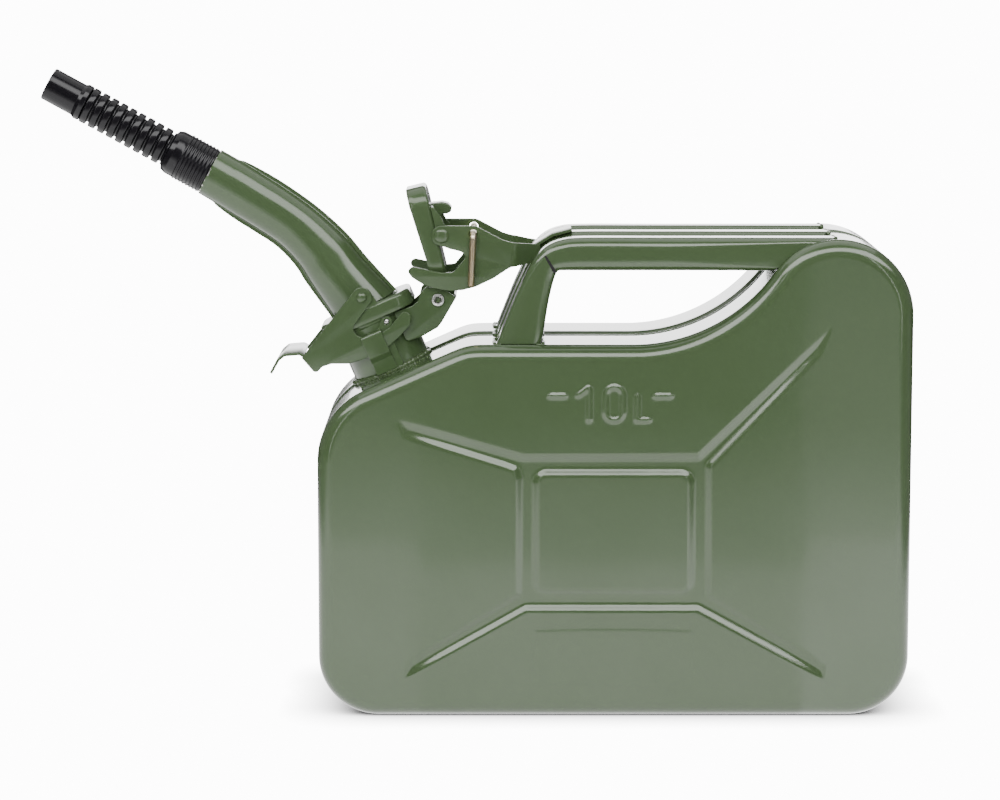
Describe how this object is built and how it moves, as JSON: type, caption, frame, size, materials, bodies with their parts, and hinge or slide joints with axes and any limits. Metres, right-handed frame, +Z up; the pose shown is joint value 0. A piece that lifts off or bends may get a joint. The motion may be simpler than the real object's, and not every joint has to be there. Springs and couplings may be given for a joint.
{
  "type": "steel fuel can with pouring spout",
  "caption": "Pressed-steel fuel can with triple handle, cam-lever cap swung open on its hinge, and a lever-locked curved spout with a flexible nozzle.",
  "frame": {"origin": "bottom centre of the whole bounding box, spout included; the can's own base is centred at x = +0.082 m", "axes": "+X from the filler end to the carrying hump, +Y away from the face with the capacity mark, +Z up"},
  "size_m": [0.5092, 0.131, 0.3748],
  "materials": {
    "olive_enamel": "glossy enamel with fine orange peel",
    "plated_steel": "bright zinc plate",
    "yellow_zinc": "yellow passivated zinc, worn",
    "seal_rubber": "matte",
    "black_plastic": "glossy moulded"
  },
  "bodies": {
    "root": {"shell_near": "olive_enamel", "shell_far": "olive_enamel", "handle_near": "olive_enamel", "handle_middle": "olive_enamel", "handle_far": "olive_enamel", "filler_neck": "olive_enamel", "catch_near": "olive_enamel", "catch_far": "olive_enamel", "hinge_bracket": "olive_enamel", "hinge_pin": "plated_steel", "breather_pipe": "plated_steel", "spout_base": "olive_enamel", "spout_gasket": "seal_rubber", "spout_half_near": "olive_enamel", "spout_half_far": "olive_enamel", "spout_lever_rivet_near": "olive_enamel", "spout_lever_rivet_far": "olive_enamel", "nozzle_collar": "black_plastic", "nozzle_bellows": "black_plastic"},
    "cap": {"cap_cover": "olive_enamel", "cap_gasket": "seal_rubber", "cap_gasket_retainer": "plated_steel", "cap_pivot_bracket": "olive_enamel", "cap_thumb_stop": "olive_enamel", "cap_hinge_arm_near": "olive_enamel", "cap_hinge_arm_far": "olive_enamel", "cap_lever_rivet_near": "olive_enamel", "cap_lever_rivet_far": "olive_enamel"},
    "cap_lever": {"cap_lever": "olive_enamel"},
    "locking_pin": {"locking_pin": "yellow_zinc"},
    "spout_lever": {"spout_lever": "olive_enamel"},
    "nozzle_tip": {"nozzle_tip": "black_plastic"}
  },
  "joints": [
    {"name": "cap_hinge", "type": "hinge", "parent": "root", "child": "cap", "pos_m": [-0.02057, 0, 0.24021], "axis": [0, -1, 0], "range_deg": [0, 22]},
    {"name": "cap_lever_pivot", "type": "hinge", "parent": "cap", "child": "cap_lever", "pos_m": [-0.01835, 0, 0.27854], "axis": [0, -1, 0], "range_deg": [0, 60]},
    {"name": "locking_pin_swing", "type": "hinge", "parent": "cap_lever", "child": "locking_pin", "pos_m": [0.00015, 0, 0.27954], "axis": [0, -1, 0], "range_deg": [-60, 60]},
    {"name": "spout_lever_pivot", "type": "hinge", "parent": "root", "child": "spout_lever", "pos_m": [-0.06516, 0, 0.24225], "axis": [0, 1, 0], "range_deg": [0, 60]},
    {"name": "nozzle_flex", "type": "hinge", "parent": "root", "child": "nozzle_tip", "pos_m": [-0.204, 0, 0.34099], "axis": [0, 1, 0], "range_deg": [-25, 25], "stiffness_Nm_per_rad": 0.08, "deforming": ["nozzle_bellows"]}
  ]
}
